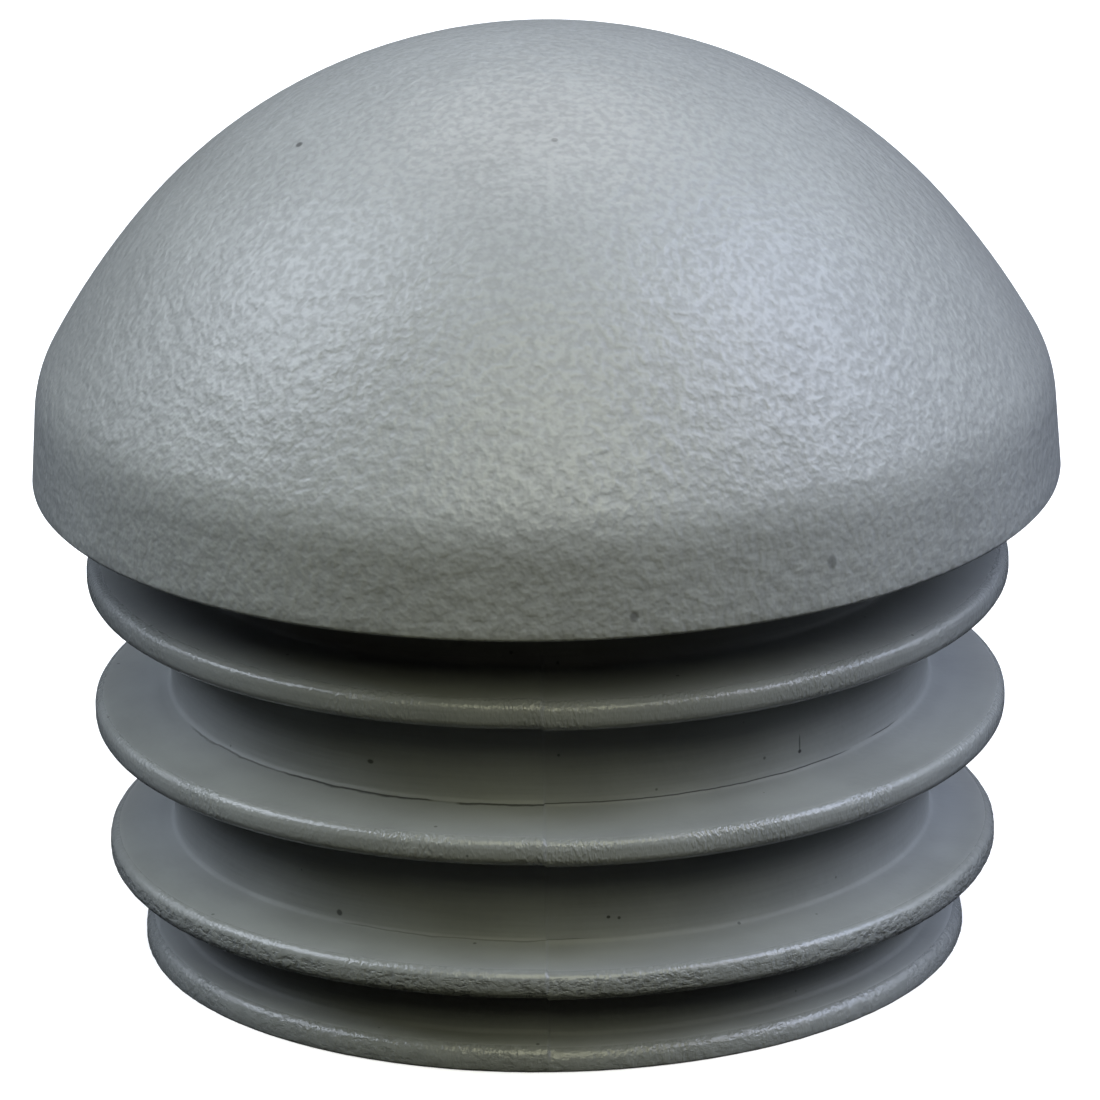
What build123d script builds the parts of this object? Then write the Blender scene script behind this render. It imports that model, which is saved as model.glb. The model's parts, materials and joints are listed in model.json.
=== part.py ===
from build123d import *
import math
import os

# Domed end cap for a round tube, moulded in one piece: a dome that covers the end of the
# tube, and a hollow stem whose ribs grip the tube's bore.
# Millimetres. +Z points up the axis, and the open end of the stem lies at z = 0.

# ---- The tube that the cap closes ----
tube_outer_diameter = 32.0
tube_wall = 2.0

# ---- Head ----
head_overhang = 0.0             # how far its lower edge stands out past the tube
head_height = 13.9
band_height = 2.4               # the nearly upright band above the lower edge
band_draft = 3.5                # degrees off the axis
shoulder_radius = 3.9
crown_share = 0.979             # crown radius over that of one plain arc from top to shoulder
flank_share = 1.46              # flank radius over the crown's
lower_edge_chamfer = 0.1

# ---- Stem ----
stem_length = 15.1
stem_clearance = 2.15           # from the stem to the tube's bore
neck_chamfer = 0.3              # under the head

# ---- Ribs, from the head down ----
rib_grips = (0.8, 0.5, -0.2)    # each rib's diameter over the tube's bore
first_rib_depth = 3.0           # from the head's seat to the middle of the first rib
rib_pitch = 4.45
rib_rim = 0.85                  # thickness at the rim
rib_draft = 7.5                 # degrees, on both faces
rib_rim_chamfer = 0.2

# ---- Lead-in rib at the open end ----
lead_in_clearance = 1.15        # from its rim to the tube's bore
lead_in_rim = 0.75
lead_in_chamfer = 0.4           # on its upper edge

# ---- Hollow, as the mould's core leaves it ----
stem_wall = 2.0                 # at the open end
crown_wall = 2.4
core_draft = 1.0                # degrees off the axis
core_end_chamfer = 5.0

# ---- Sizes worked out from those above ----
tube_bore_radius = tube_outer_diameter / 2 - tube_wall
head_radius = tube_outer_diameter / 2 + head_overhang
stem_radius = tube_bore_radius - stem_clearance
seat_z = stem_length
total_height = stem_length + head_height
lead_in_rib_radius = tube_bore_radius - lead_in_clearance
mouth_radius = stem_radius - stem_wall
core_length = total_height - crown_wall
core_end_radius = mouth_radius - core_length * math.tan(math.radians(core_draft))
buried = stem_radius / 2        # the rib sections start here, inside the stem

# Centre of the shoulder arc, which runs tangent into the band
draft = math.radians(band_draft)
shoulder_x = head_radius - band_height * math.tan(draft) - shoulder_radius * math.cos(draft)
shoulder_z = seat_z + band_height - shoulder_radius * math.sin(draft)

# One plain arc from the top to the shoulder would have this radius
crown_drop = total_height - shoulder_z
plain_radius = shoulder_x**2 + crown_drop**2 - shoulder_radius**2
plain_radius /= 2 * (crown_drop - shoulder_radius)
crown_radius = plain_radius * crown_share
flank_radius = crown_radius * flank_share


def outline_slopes():
    """Slopes of the outline's normal, in degrees, at the two ends of the flank arc.

    The centres of the crown, flank and shoulder arcs make a triangle whose sides are the
    differences of their radii, because each arc touches the next from inside.
    """
    climb = shoulder_z - (total_height - crown_radius)
    side = math.hypot(shoulder_x, climb)
    to_crown = flank_radius - crown_radius
    to_shoulder = flank_radius - shoulder_radius
    lean = math.degrees(math.atan2(climb, shoulder_x))
    at_crown = (side**2 + to_crown**2 - to_shoulder**2) / (2 * side * to_crown)
    at_shoulder = (side**2 + to_shoulder**2 - to_crown**2) / (2 * side * to_shoulder)
    upper = lean + 180 - math.degrees(math.acos(at_crown))
    lower = lean + math.degrees(math.acos(at_shoulder))
    return upper, lower


def face_drop(radius):
    """How much a drafted rib face falls from its buried root to its rim."""
    return (radius - buried) * math.tan(math.radians(rib_draft))


flank_slope, shoulder_slope = outline_slopes()

with BuildPart() as end_cap:
    # Head: crown, flank and shoulder arcs, each tangent to the next, then the band
    with BuildSketch(Plane.XZ):
        with BuildLine():
            crown = JernArc((0, total_height), (1, 0), crown_radius, flank_slope - 90)
            flank = JernArc(crown @ 1, crown % 1, flank_radius, shoulder_slope - flank_slope)
            shoulder = JernArc(flank @ 1, flank % 1, shoulder_radius, band_draft - shoulder_slope)
            Polyline(shoulder @ 1, (head_radius, seat_z), (0, seat_z), (0, total_height))
        make_face()
        lower_edge = vertices().sort_by(Axis.X)[-1]
        chamfer(lower_edge, lower_edge_chamfer)
    revolve(axis=Axis.Z)

    # Stem and ribs, drawn as one half section
    with BuildSketch(Plane.XZ):
        Rectangle(stem_radius, seat_z, align=(Align.MIN, Align.MIN))

        for place, grip in enumerate(rib_grips):
            middle = seat_z - first_rib_depth - place * rib_pitch
            radius = tube_bore_radius + grip / 2
            upper = middle + rib_rim / 2
            lower = middle - rib_rim / 2
            with BuildLine():
                Polyline(
                    (buried, upper + face_drop(radius)),
                    (radius, upper),
                    (radius, lower),
                    (buried, lower - face_drop(radius)),
                    close=True,
                )
            make_face()
            rims = vertices().filter_by_position(Axis.X, radius - 0.01, radius + 0.01)
            chamfer(rims, rib_rim_chamfer)

        with BuildLine():
            Polyline(
                (buried, 0),
                (buried, lead_in_rim + face_drop(lead_in_rib_radius)),
                (lead_in_rib_radius, lead_in_rim),
                (lead_in_rib_radius, 0),
                close=True,
            )
        make_face()
        lead_in_corners = vertices().filter_by_position(
            Axis.X, lead_in_rib_radius - 0.01, lead_in_rib_radius + 0.01
        )
        chamfer(lead_in_corners.sort_by(Axis.Y)[-1], lead_in_chamfer)
    revolve(axis=Axis.Z)

    # Chamfer where the stem leaves the head's seat
    seat_circles = edges().filter_by(GeomType.CIRCLE).filter_by_position(
        Axis.Z, seat_z - 0.01, seat_z + 0.01
    )
    chamfer(seat_circles.sort_by(SortBy.RADIUS)[0], neck_chamfer)

    # Hollow, open at the end of the stem
    with BuildSketch(Plane.XZ):
        with BuildLine():
            Polyline(
                (0, 0),
                (mouth_radius, 0),
                (core_end_radius, core_length),
                (0, core_length),
                close=True,
            )
        make_face()
        core_rim = vertices().group_by(Axis.Y)[-1].sort_by(Axis.X)[-1]
        chamfer(core_rim, core_end_chamfer)
    revolve(axis=Axis.Z, mode=Mode.SUBTRACT)

end_cap.part.label = "end_cap"

os.makedirs("parts", exist_ok=True)
export_step(end_cap.part, "parts/end_cap.step")

print(f"crown radius {crown_radius:.2f} mm down to {flank_slope:.1f} degrees")
print(f"flank radius {flank_radius:.2f} mm down to {shoulder_slope:.1f} degrees")
print(f"end_cap {end_cap.part.volume / 1000:.3f} cm3, {total_height:.1f} mm tall")
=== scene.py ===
import json
import math

import bmesh
import bpy
from mathutils import Matrix, Vector, noise


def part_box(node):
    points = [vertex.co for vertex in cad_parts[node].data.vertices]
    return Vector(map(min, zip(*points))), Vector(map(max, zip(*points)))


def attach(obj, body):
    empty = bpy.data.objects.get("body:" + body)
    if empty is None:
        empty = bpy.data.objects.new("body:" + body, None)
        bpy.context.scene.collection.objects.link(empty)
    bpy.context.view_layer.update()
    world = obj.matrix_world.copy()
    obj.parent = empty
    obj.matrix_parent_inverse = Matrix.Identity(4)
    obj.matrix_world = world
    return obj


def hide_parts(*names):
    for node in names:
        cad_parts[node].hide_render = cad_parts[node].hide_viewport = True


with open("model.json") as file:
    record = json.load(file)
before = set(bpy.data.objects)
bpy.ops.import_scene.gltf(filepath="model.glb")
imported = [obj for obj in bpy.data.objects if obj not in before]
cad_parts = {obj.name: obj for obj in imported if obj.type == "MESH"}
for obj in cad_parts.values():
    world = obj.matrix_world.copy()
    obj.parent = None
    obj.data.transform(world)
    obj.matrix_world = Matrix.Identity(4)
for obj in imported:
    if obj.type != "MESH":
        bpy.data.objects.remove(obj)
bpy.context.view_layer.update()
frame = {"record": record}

bl_info = {
    "name": "Ribbed Tube End Cap",
    "version": (1, 0, 0),
    "blender": (4, 5, 0),
    "location": "View3D > Sidebar > End Cap",
    "description": "Models and lights a moulded end cap with a grained dome and a ribbed stem",
    "category": "Add Mesh",
}

CAP_NODE = "end_cap"
MM = 0.001
LOW_CORNER, HIGH_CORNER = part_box(CAP_NODE)
MOUNTS = {mount["name"]: mount for mount in frame["record"]["mounts"]}
SEAT_Z = MOUNTS["tube_seat"]["pos_m"][2]
FIRST_RIB_Z = MOUNTS["first_rib"]["pos_m"][2]
FIRST_RIB_RADIUS = MOUNTS["first_rib"]["dims"]["r_mm"] * MM
TOTAL_HEIGHT = HIGH_CORNER.z - LOW_CORNER.z
HEAD_RADIUS = 16.0 * MM


# ---------------------------------------------------------------------------
# Settings
# ---------------------------------------------------------------------------


def length(name, description, default):
    """A length property in metres."""
    return bpy.props.FloatProperty(
        name=name,
        description=description,
        default=default,
        min=0.0,
        precision=5,
        unit="LENGTH",
        subtype="DISTANCE",
    )


def colour(name, description, default):
    """A linear colour property."""
    return bpy.props.FloatVectorProperty(
        name=name,
        description=description,
        default=default,
        size=3,
        min=0.0,
        max=1.0,
        subtype="COLOR",
    )


class CapSizes(bpy.types.PropertyGroup):
    """Sizes of the moulding, the same as the solid's."""

    head_radius: length("Head radius", "At the head's lower edge", HEAD_RADIUS)
    seat_height: length("Seat height", "From the stem's end to the head's underside", SEAT_Z)
    band_height: length("Band height", "Nearly upright band above the lower edge", 2.4 * MM)
    shoulder_radius: length("Shoulder radius", "Arc between the band and the flank", 3.9 * MM)
    lower_edge: length("Lower edge", "Rounding of the head's lower edge", 0.14 * MM)
    stem_radius: length("Stem radius", "Wall between the ribs", 11.85 * MM)
    rib_rim: length("Rib rim", "Thickness of a rib at its rim", 0.85 * MM)
    rib_pitch: length("Rib pitch", "From one rib to the next", 4.45 * MM)
    rim_rounding: length("Rim rounding", "Rounding of the rib rims", 0.3 * MM)
    root_rounding: length("Root rounding", "Blend from the stem to a rib's top", 0.15 * MM)
    under_rounding: length("Under rounding", "Blend from the stem to a rib's underside", 0.4 * MM)
    neck_rounding: length("Neck rounding", "Blend from the stem to the head", 0.3 * MM)
    lead_in_radius: length("Lead-in radius", "Radius of the rib at the open end", 12.85 * MM)
    lead_in_rim: length("Lead-in rim", "Thickness of the rib at the open end", 0.75 * MM)
    mouth_radius: length("Mouth radius", "Radius of the hollow at its mouth", 9.85 * MM)
    mouth_edge: length("Mouth edge", "Rounding of the stem's open end", 0.1 * MM)
    rim_tearing: length("Rim tearing", "Depth of the torn skin on the lower rims", 0.03 * MM)
    parting_step: length("Parting step", "Offset between the two mould halves", 0.08 * MM)


class CapFinish(bpy.types.PropertyGroup):
    """Colours and grain of the plastic."""

    head_colour: colour("Head colour", "Grained plastic", (0.287, 0.301, 0.301))
    stem_colour: colour("Stem colour", "Smooth plastic", (0.238, 0.251, 0.249))
    grain_size: length("Grain size", "Width of one bump of the head's grain", 0.22 * MM)
    grain_depth: length("Grain depth", "Depth of the head's grain", 0.036 * MM)
    skin_depth: length("Skin depth", "Unevenness of the smooth plastic", 0.008 * MM)


class StudioSettings(bpy.types.PropertyGroup):
    """Floor and camera."""

    floor_colour: colour("Floor colour", "Plain pale floor", (0.8, 0.8, 0.8))
    camera_distance: length("Camera distance", "From the camera to the cap", 400 * MM)


# ---------------------------------------------------------------------------
# Shape
# ---------------------------------------------------------------------------

SPIN_STEPS = 512
CROWN_STEPS, FLANK_STEPS, SHOULDER_STEPS = 26, 8, 8
MERGE_DISTANCE = 1e-7
BAND_DRAFT = math.radians(3.5)
RIB_DRAFT = math.radians(7.5)
CORE_DRAFT = math.radians(1.0)
CROWN_SHARE = 0.979
FLANK_SHARE = 1.46
RIB_GRIPS = (0.0, -0.15 * MM, -0.5 * MM)     # each rib's radius against the first one's
CROWN_WALL = 2.4 * MM
CORE_END_CHAMFER = 5.0 * MM
PARTING_X = -0.25 * MM                       # plane between the two mould halves
PARTING_WIDTH = 0.05 * MM
PARTING_INSET = 0.45                         # how far the right half is set in, over the step
PARTING_END_FADE = 0.6 * MM                  # the step fades out towards the open end
PARTING_SEAT_FADE = 1.0 * MM                 # and towards the head
TORN_BELOW_Z = 5.0 * MM                      # ribs below this have torn rims
TORN_BAND = 0.32 * MM                        # how far in from the rim the torn finish starts
TEAR_SIZE = 0.35 * MM
TEAR_DEPTH = 0.3 * MM                        # how far in from the rim the tearing starts
TEAR_FADE = 0.2 * MM
TEAR_HALF_HEIGHT = 0.6 * MM
UPPER_TEARING = 0.3                          # tearing of the upper rims over that of the torn
LEAD_IN_ROUNDING = 0.4 * MM                  # upper edge of the rib at the open end
CORE_ROUNDING = 0.8 * MM
SUPPORT_GAP = 0.44 * MM                      # from a corner to the ring beside its rounding
SUPPORTED_SPAN = 1.2 * MM
GRAINED, SATIN, TORN = range(3)              # material slots of the moulding


def arc(centre, radius, start, end, steps):
    """Points (r, z) along an arc, its ends included. Angles are above level, in radians."""
    angles = [start + (end - start) * i / steps for i in range(steps + 1)]
    return [
        (centre[0] + radius * math.cos(a), centre[1] + radius * math.sin(a))
        for a in angles
    ]


def head_outline(sizes):
    """Outline of the head from its top to its lower edge: crown, flank, shoulder and band."""
    top = TOTAL_HEIGHT
    radius = sizes.shoulder_radius
    shoulder_x = sizes.head_radius - sizes.band_height * math.tan(BAND_DRAFT)
    shoulder_x -= radius * math.cos(BAND_DRAFT)
    shoulder_z = sizes.seat_height + sizes.band_height - radius * math.sin(BAND_DRAFT)
    drop = top - shoulder_z
    plain = (shoulder_x**2 + drop**2 - radius**2) / (2 * (drop - radius))
    crown = plain * CROWN_SHARE
    flank = crown * FLANK_SHARE
    crown_centre = (0.0, top - crown)
    climb = shoulder_z - crown_centre[1]
    side = math.hypot(shoulder_x, climb)
    lean = math.atan2(climb, shoulder_x)
    to_crown = flank - crown
    to_shoulder = flank - radius
    at_crown = math.acos((side**2 + to_crown**2 - to_shoulder**2) / (2 * side * to_crown))
    at_shoulder = math.acos((side**2 + to_shoulder**2 - to_crown**2) / (2 * side * to_shoulder))
    upper = lean + math.pi - at_crown
    lower = lean + at_shoulder
    flank_centre = (-to_crown * math.cos(upper), crown_centre[1] - to_crown * math.sin(upper))
    points = arc(crown_centre, crown, math.pi / 2, upper, CROWN_STEPS)
    points += arc(flank_centre, flank, upper, lower, FLANK_STEPS)[1:]
    points += arc((shoulder_x, shoulder_z), radius, lower, BAND_DRAFT, SHOULDER_STEPS)[1:]
    low_x = sizes.head_radius - SUPPORT_GAP * math.tan(BAND_DRAFT)
    points += [(low_x, sizes.seat_height + SUPPORT_GAP), (sizes.head_radius, sizes.seat_height)]
    return points


def rib_middles(sizes):
    """Height and radius of each full rib, from the head down."""
    return [
        (FIRST_RIB_Z - place * sizes.rib_pitch, FIRST_RIB_RADIUS + grip)
        for place, grip in enumerate(RIB_GRIPS)
    ]


def foot_rise(sizes, radius):
    """How much each drafted face of a rib moves away from its middle, from rim to stem."""
    return (radius - sizes.stem_radius) * math.tan(RIB_DRAFT)


def stem_outline(sizes):
    """Outline of the stem from the head's underside to its end, with every corner sharp."""
    wall = sizes.stem_radius
    points = [(wall, sizes.seat_height)]
    for middle, radius in rib_middles(sizes):
        half = sizes.rib_rim / 2
        rise = foot_rise(sizes, radius)
        points += [
            (wall, middle + half + rise),
            (radius, middle + half),
            (radius, middle - half),
            (wall, middle - half - rise),
        ]
    rim = sizes.lead_in_rim
    rise = foot_rise(sizes, sizes.lead_in_radius)
    points += [(wall, rim + rise), (sizes.lead_in_radius, rim), (sizes.lead_in_radius, 0.0)]
    return points


def stem_corners(sizes):
    """Corners of the stem's outline: rib rims, roots above the ribs and roots under them."""
    wall = sizes.stem_radius
    rims = []
    roots = []
    undersides = []
    for middle, radius in rib_middles(sizes):
        half = sizes.rib_rim / 2
        rise = foot_rise(sizes, radius)
        rims += [(radius, middle + half), (radius, middle - half)]
        roots += [(wall, middle + half + rise)]
        undersides += [(wall, middle - half - rise)]
    roots += [(wall, sizes.lead_in_rim + foot_rise(sizes, sizes.lead_in_radius))]
    return rims, roots, undersides


def hollow_outline(sizes):
    """Outline of the hollow from its mouth to its end on the axis."""
    end_z = TOTAL_HEIGHT - CROWN_WALL
    bend_z = end_z - CORE_END_CHAMFER
    bend_radius = sizes.mouth_radius - bend_z * math.tan(CORE_DRAFT)
    end_radius = sizes.mouth_radius - end_z * math.tan(CORE_DRAFT) - CORE_END_CHAMFER
    return [(sizes.mouth_radius, 0.0), (bend_radius, bend_z), (end_radius, end_z), (0.0, end_z)]


def supported(outline):
    """The outline with points just past the roundings, so that its flats stay flat in shading."""
    points = [outline[0]]
    for (r0, z0), (r1, z1) in zip(outline, outline[1:]):
        span = math.hypot(r1 - r0, z1 - z0)
        if span > SUPPORTED_SPAN:
            for share in (SUPPORT_GAP / span, 1 - SUPPORT_GAP / span):
                points.append((r0 + (r1 - r0) * share, z0 + (z1 - z0) * share))
        points.append((r1, z1))
    return points


def ring_edges(mesh, corners, tolerance=0.002 * MM):
    """Edges that lie in the ring through any of the given (r, z) corners."""
    def on_ring(vert, corner):
        reach = math.hypot(vert.co.x, vert.co.y)
        return math.hypot(reach - corner[0], vert.co.z - corner[1]) < tolerance

    rings = []
    for corner in corners:
        members = {vert for vert in mesh.verts if on_ring(vert, corner)}
        rings += [e for e in mesh.edges if e.verts[0] in members and e.verts[1] in members]
    return rings


def round_rings(mesh, corners, offset, segments):
    """Rounds the rings through the given (r, z) corners."""
    bmesh.ops.bevel(
        mesh,
        geom=ring_edges(mesh, corners),
        offset=offset,
        offset_type="OFFSET",
        affect="EDGES",
        segments=segments,
        profile=0.5,
        material=-1,
    )


def draw_in(vert, depth, reach):
    """Moves a vertex that lies at the given reach towards the axis."""
    vert.co.x *= 1 - depth / reach
    vert.co.y *= 1 - depth / reach


def tear_rims(mesh, sizes):
    """Roughens the rims: lightly on the upper two ribs, torn on the lower two."""
    ribs = rib_middles(sizes) + [(sizes.lead_in_rim / 2, sizes.lead_in_radius)]
    for middle, radius in ribs:
        torn = 1.0 if middle < TORN_BELOW_Z else UPPER_TEARING
        for vert in mesh.verts:
            reach = math.hypot(vert.co.x, vert.co.y)
            if abs(vert.co.z - middle) > TEAR_HALF_HEIGHT or reach < radius - TEAR_DEPTH:
                continue
            spot = Vector((vert.co.x, vert.co.y, vert.co.z * 0.7)) / TEAR_SIZE
            depth = sizes.rim_tearing * torn * (0.5 + 0.5 * noise.noise(spot))
            depth *= min(1.0, (reach - radius + TEAR_DEPTH) / TEAR_FADE)
            draw_in(vert, depth, reach)


def new_piece(name, mesh):
    """Turns a bmesh into an object that rides on the cap's body."""
    data = bpy.data.meshes.new(name)
    mesh.to_mesh(data)
    mesh.free()
    piece = bpy.data.objects.new(name, data)
    bpy.context.scene.collection.objects.link(piece)
    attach(piece, "root")
    return piece


def shift_mould_halves(mesh, sizes):
    """Offsets the two halves of the ribbed stem along the axis, with a fine step between."""
    for side in (-0.5, 0.5):
        bmesh.ops.bisect_plane(
            mesh,
            geom=mesh.verts[:] + mesh.edges[:] + mesh.faces[:],
            dist=MERGE_DISTANCE,
            plane_co=(PARTING_X + side * PARTING_WIDTH, 0, 0),
            plane_no=(1, 0, 0),
        )
    seat = sizes.seat_height
    for vert in mesh.verts:
        reach = math.hypot(vert.co.x, vert.co.y)
        if vert.co.z > seat - 0.01 * MM or reach < sizes.stem_radius - 0.2 * MM:
            continue
        fade_low = max(0.0, min(1.0, vert.co.z / PARTING_END_FADE))
        fade_high = min(1.0, (seat - vert.co.z) / PARTING_SEAT_FADE)
        side = max(-1.0, min(1.0, (vert.co.x - PARTING_X) / (PARTING_WIDTH / 2)))
        step = sizes.parting_step * fade_low * fade_high
        vert.co.z -= side * step / 2
        draw_in(vert, PARTING_INSET * step * (1 + side) / 2, reach)


class CapMould(bpy.types.Operator):
    """Spin the outline of the cap and round its corners"""

    bl_idname = "end_cap.mould"
    bl_label = "Mould the Cap"

    def execute(self, context):
        sizes = context.scene.cap_sizes
        stem = supported([(sizes.head_radius, sizes.seat_height)] + stem_outline(sizes))[1:]
        outline = head_outline(sizes) + stem + supported(hollow_outline(sizes))
        mesh = bmesh.new()
        verts = [mesh.verts.new((r, 0.0, z)) for r, z in outline]
        edges = [mesh.edges.new(pair) for pair in zip(verts, verts[1:])]
        bmesh.ops.spin(
            mesh,
            geom=verts + edges,
            cent=(0, 0, 0),
            axis=(0, 0, 1),
            angle=2 * math.pi,
            steps=SPIN_STEPS,
            use_merge=True,
        )
        bmesh.ops.remove_doubles(mesh, verts=mesh.verts[:], dist=MERGE_DISTANCE)
        bmesh.ops.recalc_face_normals(mesh, faces=mesh.faces[:])

        rims, roots, undersides = stem_corners(sizes)
        hollow = hollow_outline(sizes)
        round_rings(mesh, rims, sizes.rim_rounding, 4)
        round_rings(mesh, roots, sizes.root_rounding, 2)
        round_rings(mesh, undersides, sizes.under_rounding, 3)
        round_rings(mesh, [(sizes.stem_radius, sizes.seat_height)], sizes.neck_rounding, 2)
        round_rings(mesh, [(sizes.lead_in_radius, sizes.lead_in_rim)], LEAD_IN_ROUNDING, 5)
        round_rings(mesh, [(sizes.head_radius, sizes.seat_height)], sizes.lower_edge, 3)
        ends = [(sizes.lead_in_radius, 0.0), hollow[0]]
        round_rings(mesh, ends, sizes.mouth_edge, 2)
        round_rings(mesh, hollow[1:3], CORE_ROUNDING, 3)
        tear_rims(mesh, sizes)
        shift_mould_halves(mesh, sizes)

        mesh.normal_update()
        choose_finishes(mesh, sizes)
        piece = new_piece("moulded_cap", mesh)
        for material in (head_material(context), stem_material(context), torn_material(context)):
            piece.data.materials.append(material)
        piece.data.shade_smooth()
        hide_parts(CAP_NODE)
        return {"FINISHED"}


def choose_finishes(mesh, sizes):
    """Gives each face its finish: grained on the head's outside, satin elsewhere."""
    lower_rims = [(sizes.lead_in_rim / 2, sizes.lead_in_radius)]
    lower_rims += [rib for rib in rib_middles(sizes) if rib[0] < TORN_BELOW_Z]
    for face in mesh.faces:
        centre = face.calc_center_median()
        reach = math.hypot(centre.x, centre.y)
        outward = face.normal.x * centre.x + face.normal.y * centre.y
        near_edge = reach > sizes.head_radius - 0.2 * MM
        looks_out = outward > -1e-9 and face.normal.z > 0
        on_head = centre.z > sizes.seat_height + 0.005 * MM and (looks_out or near_edge)
        torn = any(
            abs(centre.z - middle) < 0.5 * MM and reach > radius - TORN_BAND
            for middle, radius in lower_rims
        )
        face.material_index = GRAINED if on_head else TORN if torn else SATIN


# ---------------------------------------------------------------------------
# Finishes
# ---------------------------------------------------------------------------


# Sizes of the patterns in the finishes.
HEAD_CLOUD = 4.0 * MM
STEM_CLOUD = 2.2 * MM
TURNED_RING = 0.12 * MM                      # rings left by the turned mould
SKIN_PATCH = 0.3 * MM
SPECK_SPACING = 1.3 * MM
RIM_SCUFF = 0.11 * MM
TORN_SCUFF = 0.14 * MM
SCUFFED_PATCH = 2.6 * MM
TORN_PIT = 0.16 * MM
TORN_PATCH = 2.2 * MM
CREASE_PATCH = 1.8 * MM
CREASE_WAVE = 1.4 * MM
CREASE_WANDER = 0.08 * MM
# The next value also sets how dark the painted crease shade on the stem gets at its fullest.
FLAW_AND_PAINTED_SHADE = 0.12                            # how dark a full flaw is, over the plain colour

# Small flaws of the moulding: azimuth in degrees from the front (right is positive), radius,
# height, half width, half length along the axis, all in mm, and how much darker it is.
HEAD_MARKS = {
    "fleck on the flank": (-65.8, 8.1, 26.9, 0.16, 0.10, 0.75),
    "spot on the band": (9.2, 16.0, 15.8, 0.17, 0.20, 0.55),
    "spot above the band": (32.5, 15.9, 16.6, 0.20, 0.26, 0.45),
    "pit on the crown": (4.0, 6.2, 27.8, 0.12, 0.10, 0.40),
}
STEM_MARKS = {
    "speck in the upper groove": (-27.8, 11.85, 9.4, 0.12, 0.08, 0.8),
    "scratch in the upper groove": (40.0, 11.814, 9.2, 0.035, 0.34, 0.7),
    "speck under the scratch": (40.0, 11.814, 8.95, 0.08, 0.07, 0.9),
    "speck in the middle groove": (-33.8, 11.85, 4.25, 0.12, 0.12, 0.8),
    "pair of specks, left": (8.0, 11.814, 4.65, 0.07, 0.06, 0.9),
    "pair of specks, right": (9.6, 11.814, 4.6, 0.06, 0.06, 0.8),
    "scratch over the first rib": (52.0, 14.07, 12.5, 0.05, 0.40, 0.7),
    "smudge at the end": (-20.8, 12.85, 0.5, 0.25, 0.16, 0.45),
}


def new_material(name):
    """An empty node material with its shader and output."""
    material = bpy.data.materials.new(name)
    material.use_nodes = True
    nodes = material.node_tree.nodes
    nodes.clear()
    output = nodes.new("ShaderNodeOutputMaterial")
    shader = nodes.new("ShaderNodeBsdfPrincipled")
    material.node_tree.links.new(shader.outputs["BSDF"], output.inputs["Surface"])
    return material, shader


def feed(material, socket, value):
    """Links a socket into an input, or sets the input to a number, vector or colour."""
    if isinstance(value, bpy.types.NodeSocket):
        material.node_tree.links.new(value, socket)
    else:
        socket.default_value = value


def add_node(material, kind, **inputs):
    """Adds a node and sets its inputs: a number or colour is a value, a socket is a link."""
    node = material.node_tree.nodes.new(kind)
    for name, value in inputs.items():
        feed(material, node.inputs[name.replace("_", " ")], value)
    return node


def math_node(material, operation, *values):
    """A Math node on numbers or sockets; returns its result."""
    node = material.node_tree.nodes.new("ShaderNodeMath")
    node.operation = operation
    for socket, value in zip(node.inputs, values):
        feed(material, socket, value)
    return node.outputs["Value"]


def spread(material, value, low, high, start=0.0, end=1.0):
    """Maps a value from low..high to start..end, clamped and smooth at both ends."""
    node = material.node_tree.nodes.new("ShaderNodeMapRange")
    node.interpolation_type = "SMOOTHSTEP"
    material.node_tree.links.new(value, node.inputs["Value"])
    for name, number in (("From Min", low), ("From Max", high), ("To Min", start), ("To Max", end)):
        node.inputs[name].default_value = number
    return node.outputs["Result"]


def noise_value(material, place, size, detail=2.0, roughness=0.5, warp=0.0):
    """Noise whose patches are about the given size."""
    node = add_node(
        material, "ShaderNodeTexNoise",
        Vector=place, Scale=1.0 / size, Detail=detail, Roughness=roughness, Distortion=warp,
    )
    return node.outputs["Fac"]


def stretched(material, place, factors):
    """Object coordinates scaled by the factors along X, Y and Z."""
    node = add_node(material, "ShaderNodeMapping", Vector=place)
    node.inputs["Scale"].default_value = factors
    return node.outputs["Vector"]


def shaded(base, factor):
    """A colour made darker or lighter by a factor, with its alpha."""
    return (*(min(1.0, channel * factor) for channel in base), 1.0)


def bumped(material, shader, height, distance):
    """Links a height to the shader's normal."""
    bump = add_node(material, "ShaderNodeBump", Height=height)
    bump.inputs["Strength"].default_value = 1.0
    bump.inputs["Distance"].default_value = distance
    material.node_tree.links.new(bump.outputs["Normal"], shader.inputs["Normal"])


def vector_node(material, operation, *vectors):
    """A Vector Math node on vectors or sockets."""
    node = material.node_tree.nodes.new("ShaderNodeVectorMath")
    node.operation = operation
    for socket, value in zip(node.inputs, vectors):
        feed(material, socket, value)
    return node


def mixed(material, factor, first, second):
    """A colour between two colours or sockets, by a factor."""
    node = material.node_tree.nodes.new("ShaderNodeMix")
    node.data_type = "RGBA"
    for number, value in ((0, factor), (6, first), (7, second)):
        feed(material, node.inputs[number], value)
    return node


def flaw_shade(material, place, marks):
    """How dark the flaws make each point: nothing away from them."""
    total = 0.0
    for azimuth, reach, height, width, half, shade in marks.values():
        a = math.radians(azimuth)
        middle = (reach * math.sin(a) * MM, -reach * math.cos(a) * MM, height * MM)
        offset = vector_node(material, "SUBTRACT", place, middle).outputs["Vector"]
        shaped = stretched(material, offset, (1 / width, 1 / width, 1 / half))
        away = vector_node(material, "LENGTH", shaped).outputs["Value"]
        spot = spread(material, away, 0.55 * MM, 1.1 * MM, shade, 0.0)
        total = math_node(material, "ADD", spot, total)
    return total


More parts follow.
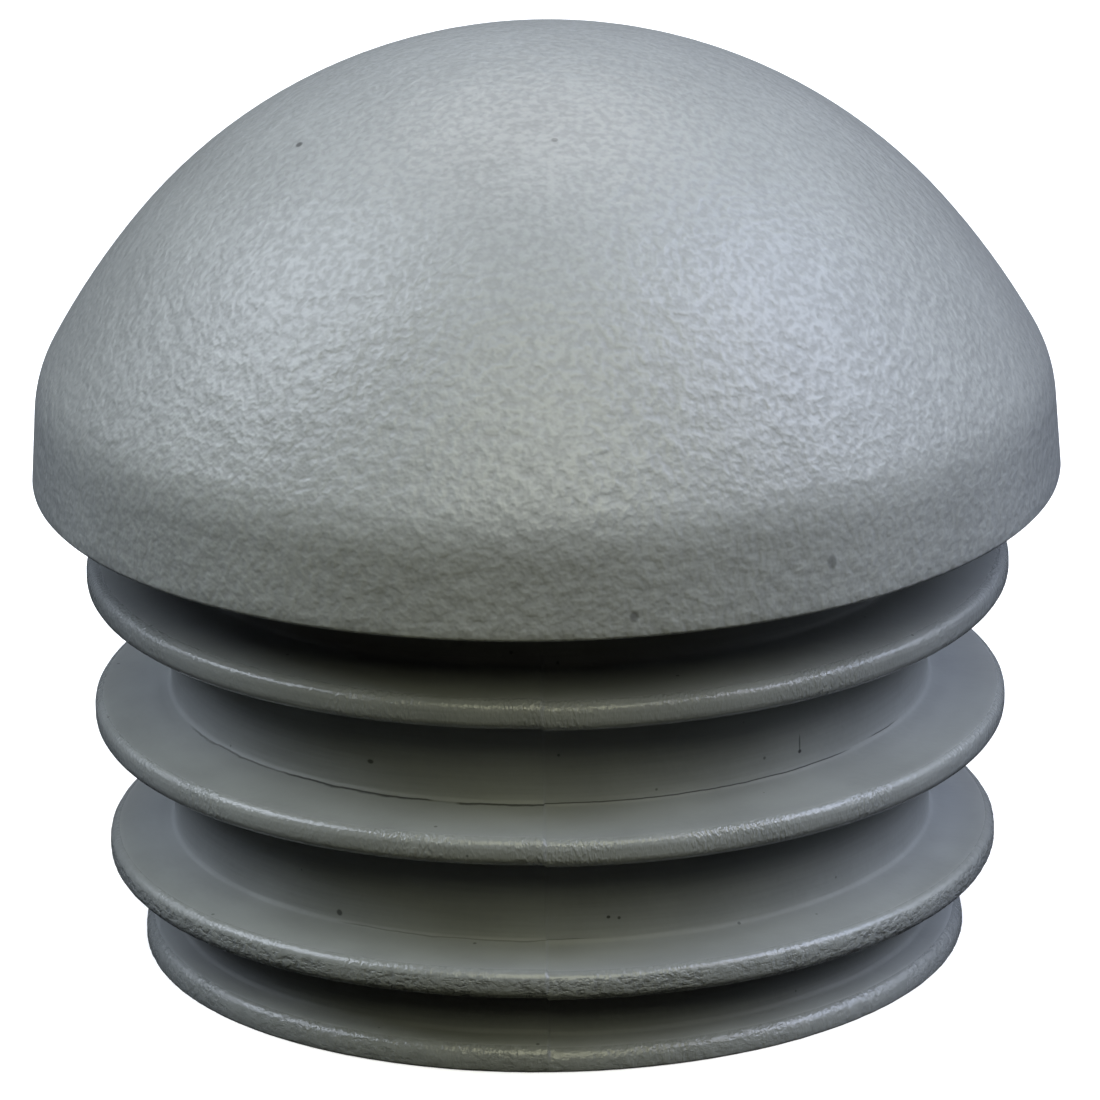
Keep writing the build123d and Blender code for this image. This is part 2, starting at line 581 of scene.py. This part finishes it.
def painted_crease_shade(material, place, creases):
    """Painted shade of fine creases round the stem: dark wandering lines in the colour. Each is
    (height, azimuth from, azimuth to, half width, strength), with the azimuths in degrees."""
    parts = add_node(material, "ShaderNodeSeparateXYZ", Vector=place).outputs
    wander = noise_value(material, place, CREASE_WAVE, 3.0, 0.6)
    wander = math_node(material, "MULTIPLY_ADD", wander, CREASE_WANDER, -CREASE_WANDER / 2)
    wandering_z = math_node(material, "ADD", parts["Z"], wander)
    front = math_node(material, "MULTIPLY", parts["Y"], -1.0)
    angle = math_node(material, "ARCTAN2", parts["X"], front)
    total = 0.0
    for height, start, end, half_width, strength in creases:
        away = math_node(material, "SUBTRACT", wandering_z, height)
        away = math_node(material, "ABSOLUTE", away)
        line = spread(material, away, half_width * 0.4, half_width, strength, 0.0)
        begun = spread(material, angle, math.radians(start), math.radians(start + 5))
        ended = spread(material, angle, math.radians(end - 5), math.radians(end), 1.0, 0.0)
        shade = math_node(material, "MULTIPLY", math_node(material, "MULTIPLY", line, begun), ended)
        total = math_node(material, "ADD", shade, total)
    patches = noise_value(material, place, CREASE_PATCH, 0.0, 0.5)
    return math_node(material, "MULTIPLY", total, spread(material, patches, 0.27, 0.38, 0.3, 1.0))


def finish_shader(material, shader, tone, base, low, high, flaws=None):
    """Base colour from low to high times the base by tone, darkened where there are flaws and, on
    the stem, by painted crease shade.
    """
    mix = mixed(material, tone, shaded(base, low), shaded(base, high))
    mix.clamp_factor = False
    if flaws is not None:
        mix = mixed(material, flaws, mix.outputs[2], shaded(base, FLAW_AND_PAINTED_SHADE))
    material.node_tree.links.new(mix.outputs[2], shader.inputs["Base Color"])


def head_material(context):
    """Spark-eroded grain on grey plastic, with faint clouds of lighter and darker grey, and a tone
    lighter on the grain's bumps and darker in its hollows, partly as painted shade.
    """
    finish = context.scene.cap_finish
    material, shader = new_material("grained_head")
    links = material.node_tree.links
    place = add_node(material, "ShaderNodeTexCoord").outputs["Object"]
    bumps = noise_value(material, place, finish.grain_size, 1.0, 0.4)
    wavy = noise_value(material, place, finish.grain_size * 2.5, 0.0, 0.5)
    clouds = noise_value(material, place, HEAD_CLOUD, 1.0, 0.55)
    flaws = flaw_shade(material, place, HEAD_MARKS)
    height = math_node(material, "MULTIPLY_ADD", wavy, 1.2, bumps)
    # Partly painted shade: the colour follows the bumps, darker in the grain's hollows and lighter
    # on its tops.
    tone = math_node(material, "MULTIPLY", spread(material, bumps, 0.3, 0.7), 0.75)
    tone = math_node(material, "MULTIPLY_ADD", spread(material, clouds, 0.3, 0.7), 0.25, tone)
    finish_shader(material, shader, tone, finish.head_colour, 0.87, 1.13, flaws)
    links.new(spread(material, bumps, 0.35, 0.68, 0.46, 0.32), shader.inputs["Roughness"])
    bumped(material, shader, height, finish.grain_depth)
    return material


def reach_value(material, place):
    """How far a point lies from the axis."""
    parts = add_node(material, "ShaderNodeSeparateXYZ", Vector=place).outputs
    across = math_node(material, "MULTIPLY", parts["X"], parts["X"])
    across = math_node(material, "MULTIPLY_ADD", parts["Y"], parts["Y"], across)
    return math_node(material, "SQRT", across)


def scuff_value(material, place, size):
    """Short upright scuffs, from -0.5 to 0.5, stronger in some places than in others."""
    scuffs = noise_value(material, stretched(material, place, (1.0, 1.0, 0.5)), size, 1.0, 0.6)
    scuffs = spread(material, scuffs, 0.38, 0.66, -0.5, 0.5)
    patches = noise_value(material, place, SCUFFED_PATCH, 0.0, 0.5)
    return math_node(material, "MULTIPLY", scuffs, spread(material, patches, 0.35, 0.6, 0.35, 1.0))


def stem_material(context):
    """Satin grey plastic with fine rings left by the turned mould, dust specks, and painted shade
    in fine creases above the ribs.
    """
    finish = context.scene.cap_finish
    sizes = context.scene.cap_sizes
    material, shader = new_material("satin_stem")
    links = material.node_tree.links
    place = add_node(material, "ShaderNodeTexCoord").outputs["Object"]
    turned = stretched(material, place, (0.04, 0.04, 1.0))
    rings = noise_value(material, turned, TURNED_RING, 1.0, 0.6)
    skin = noise_value(material, place, SKIN_PATCH, 1.0, 0.6)
    reach = reach_value(material, place)
    wall = sizes.stem_radius
    rubbed = spread(material, reach, wall + 0.3 * MM, wall + 1.6 * MM)
    rim = spread(material, reach, FIRST_RIB_RADIUS - 0.5 * MM, FIRST_RIB_RADIUS - 0.3 * MM)
    scuffs = math_node(material, "MULTIPLY", scuff_value(material, place, RIM_SCUFF), rim)
    wide = stretched(material, place, (0.6, 0.6, 1.0))
    clouds = noise_value(material, wide, STEM_CLOUD, 2.0, 0.55)
    specks = add_node(material, "ShaderNodeTexVoronoi", Vector=place, Scale=1.0 / SPECK_SPACING)
    speck = spread(material, specks.outputs["Distance"], 0.03, 0.055, 0.65, 0.0)
    # Painted shade: dark wandering lines in the colour where the stem wall meets the tops of the
    # second and third ribs. They stand in for the shade in those fine creases and also dent the
    # bump.
    root_z = rib_middles(sizes)[1][0] + 0.78 * MM
    painted_crease = painted_crease_shade(material, place, [
        (root_z, -70, -42, 0.02 * MM, 0.55),
        (root_z, -46, 52, 0.024 * MM, 0.85),
        (root_z + 0.03 * MM, 54, 66, 0.02 * MM, 0.7),
        (root_z - sizes.rib_pitch, -35, 8, 0.022 * MM, 0.4),
    ])
    marks = math_node(material, "ADD", speck, flaw_shade(material, place, STEM_MARKS))
    # Besides the specks and marks, the flaws here hold the painted crease shade.
    flaws = math_node(material, "ADD", painted_crease, marks)
    tone = math_node(material, "MULTIPLY", spread(material, clouds, 0.3, 0.7), 0.4)
    tone = math_node(material, "MULTIPLY_ADD", skin, 0.25, tone)
    tone = math_node(material, "MULTIPLY_ADD", rings, 0.5, tone)
    finish_shader(material, shader, tone, finish.stem_colour, 0.84, 1.18, flaws)
    rough = math_node(material, "MULTIPLY_ADD", skin, 0.10, 0.56)
    rough = math_node(material, "MULTIPLY_ADD", rubbed, -0.25, rough)
    rough = math_node(material, "MULTIPLY_ADD", rim, -0.17, rough)
    links.new(rough, shader.inputs["Roughness"])
    height = math_node(material, "MULTIPLY_ADD", rings, 0.9, skin)
    height = math_node(material, "MULTIPLY_ADD", painted_crease, -2.0, height)
    height = math_node(material, "MULTIPLY_ADD", scuffs, 2.0, height)
    bumped(material, shader, height, finish.skin_depth)
    return material


def torn_material(context):
    """Rims of the lower ribs: the same plastic, scuffed and torn below their upper edge."""
    finish = context.scene.cap_finish
    sizes = context.scene.cap_sizes
    material, shader = new_material("torn_rim")
    links = material.node_tree.links
    place = add_node(material, "ShaderNodeTexCoord").outputs["Object"]
    height_z = add_node(material, "ShaderNodeSeparateXYZ", Vector=place).outputs["Z"]
    top_z = rib_middles(sizes)[2][0] + sizes.rib_rim / 2
    wide = stretched(material, place, (0.6, 0.6, 1.0))
    torn = spread(material, noise_value(material, wide, TORN_PIT, 2.0, 0.6), 0.40, 0.68)
    patches = noise_value(material, place, TORN_PATCH, 1.0, 0.5)
    patches = spread(material, patches, 0.3, 0.55, 0.3, 1.0)
    below_edge = spread(material, height_z, top_z - 0.26 * MM, top_z - 0.12 * MM, 1.0, 0.1)
    on_full_rib = spread(material, height_z, 1.2 * MM, 2.0 * MM, 0.45, 1.0)
    for share in (patches, below_edge, on_full_rib):
        torn = math_node(material, "MULTIPLY", torn, share)
    skin = noise_value(material, place, SKIN_PATCH, 1.0, 0.6)
    scuffs = scuff_value(material, place, TORN_SCUFF)
    tone = math_node(material, "MULTIPLY_ADD", torn, -0.9, 0.35)
    tone = math_node(material, "MULTIPLY_ADD", skin, 0.6, tone)
    finish_shader(material, shader, tone, finish.stem_colour, 0.74, 1.14)
    rough = math_node(material, "MULTIPLY_ADD", torn, 0.30, 0.20)
    links.new(rough, shader.inputs["Roughness"])
    height = math_node(material, "MULTIPLY_ADD", torn, -3.0, skin)
    height = math_node(material, "MULTIPLY_ADD", scuffs, 1.1, height)
    bumped(material, shader, height, finish.skin_depth)
    return material


# ---------------------------------------------------------------------------
# Stage
# ---------------------------------------------------------------------------

CAMERA_RISE = math.radians(19.28)
CAMERA_ROLL = math.radians(-1.04)
CAMERA_LENS = 419.8
CAMERA_SENSOR = 36.0
CAMERA_AIM = Vector((0.064, 0.0, 12.457)) * MM
FLOOR_RADIUS = 1.2
FLOOR_GLOW = 0.55
BACKDROP_STRENGTH = 0.9
LIGHT_DISTANCE = 0.5
LIGHT_SIZE = 0.36
SKY = (0.6, 0.7, 1.0)
DAYLIGHT = (0.8, 0.87, 1.0)
PALE = (0.9, 0.9, 1.0)
YELLOWISH = (1.0, 1.0, 0.7)
WARM = (1.0, 0.9, 0.8)
STUDIO_LIGHTS = [                            # name, azimuth, rise, power in watts, tint
    ("left_softbox", -90, 48, 1.85, DAYLIGHT),
    ("rear_left_softbox", -115, 30, 0.5, DAYLIGHT),
    ("right_softbox", 90, 48, 1.25, SKY),
    ("low_right_softbox", 90, 30, 0.5, DAYLIGHT),
    ("rear_right_softbox", 115, 30, 0.4, DAYLIGHT),
    ("side_right_softbox", 65, 48, 1.0, PALE),
    ("front_softbox", 0, 48, 1.05, YELLOWISH),
    ("fill_softbox", 0, 18, 0.03, WARM),
    ("back_softbox", 180, 60, 0.5, WARM),
]


def add_camera(distance):
    """A long lens in front of the cap, above its level and slightly rolled."""
    forward = Vector((0, math.cos(CAMERA_RISE), -math.sin(CAMERA_RISE)))
    right = Vector((1, 0, 0))
    up = right.cross(forward)
    rolled_right = math.cos(CAMERA_ROLL) * right + math.sin(CAMERA_ROLL) * up
    rolled_up = math.cos(CAMERA_ROLL) * up - math.sin(CAMERA_ROLL) * right
    data = bpy.data.cameras.new("camera")
    data.lens = CAMERA_LENS
    data.sensor_width = CAMERA_SENSOR
    data.clip_start = 0.01
    camera = bpy.data.objects.new("camera", data)
    turn = Matrix((rolled_right, rolled_up, -forward)).transposed()
    camera.matrix_world = Matrix.Translation(CAMERA_AIM - forward * distance) @ turn.to_4x4()
    bpy.context.scene.collection.objects.link(camera)
    bpy.context.scene.camera = camera
    return camera


def add_area_light(name, azimuth, rise, power, tint):
    """A round soft light that faces the cap. Azimuth 0 is in front, 90 to the right."""
    a = math.radians(azimuth)
    e = math.radians(rise)
    aim = Vector((0, 0, SEAT_Z))
    towards = Vector((math.sin(a) * math.cos(e), -math.cos(a) * math.cos(e), math.sin(e)))
    data = bpy.data.lights.new(name, "AREA")
    data.shape = "DISK"
    data.size = LIGHT_SIZE
    data.energy = power
    data.color = tint
    light = bpy.data.objects.new(name, data)
    light.location = aim + towards * LIGHT_DISTANCE
    light.rotation_euler = (-towards).to_track_quat("-Z", "Y").to_euler()
    bpy.context.scene.collection.objects.link(light)
    return light


class CapStage(bpy.types.Operator):
    """Set the floor, the lights and the camera"""

    bl_idname = "end_cap.stage"
    bl_label = "Set the Stage"

    def execute(self, context):
        studio = context.scene.cap_studio
        mesh = bmesh.new()
        bmesh.ops.create_circle(mesh, cap_ends=True, radius=FLOOR_RADIUS, segments=64)
        data = bpy.data.meshes.new("floor")
        mesh.to_mesh(data)
        mesh.free()
        floor = bpy.data.objects.new("floor", data)
        context.scene.collection.objects.link(floor)
        material, shader = new_material("pale_floor")
        shader.inputs["Base Color"].default_value = (*studio.floor_colour, 1.0)
        shader.inputs["Roughness"].default_value = 0.9
        shader.inputs["Emission Color"].default_value = (1.0, 1.0, 1.0, 1.0)
        shader.inputs["Emission Strength"].default_value = FLOOR_GLOW
        data.materials.append(material)
        floor.visible_diffuse = False
        floor.visible_glossy = False

        for light in STUDIO_LIGHTS:
            add_area_light(*light)

        world = bpy.data.worlds.new("studio")
        world.use_nodes = True
        background = world.node_tree.nodes["Background"]
        background.inputs["Color"].default_value = (1, 1, 1, 1)
        background.inputs["Strength"].default_value = BACKDROP_STRENGTH
        # A plain white surround: it is seen, but the soft lights alone light the cap
        world.cycles_visibility.diffuse = False
        world.cycles_visibility.glossy = False
        context.scene.world = world
        context.scene.view_settings.view_transform = "Standard"
        add_camera(studio.camera_distance)
        return {"FINISHED"}


class CapPanel(bpy.types.Panel):
    """The cap's steps, in order"""

    bl_idname = "VIEW3D_PT_end_cap"
    bl_label = "End Cap"
    bl_space_type = "VIEW_3D"
    bl_region_type = "UI"
    bl_category = "End Cap"

    def draw(self, context):
        column = self.layout.column()
        column.operator(CapMould.bl_idname)
        column.operator(CapStage.bl_idname)


GROUPS = {"cap_sizes": CapSizes, "cap_finish": CapFinish, "cap_studio": StudioSettings}
CLASSES = (*GROUPS.values(), CapMould, CapStage, CapPanel)


def register():
    for cls in CLASSES:
        bpy.utils.register_class(cls)
    for name, group in GROUPS.items():
        setattr(bpy.types.Scene, name, bpy.props.PointerProperty(type=group))


def unregister():
    for name in GROUPS:
        delattr(bpy.types.Scene, name)
    for cls in reversed(CLASSES):
        bpy.utils.unregister_class(cls)


def main():
    register()
    bpy.ops.end_cap.mould()
    bpy.ops.end_cap.stage()


if __name__ == "__main__":
    main()
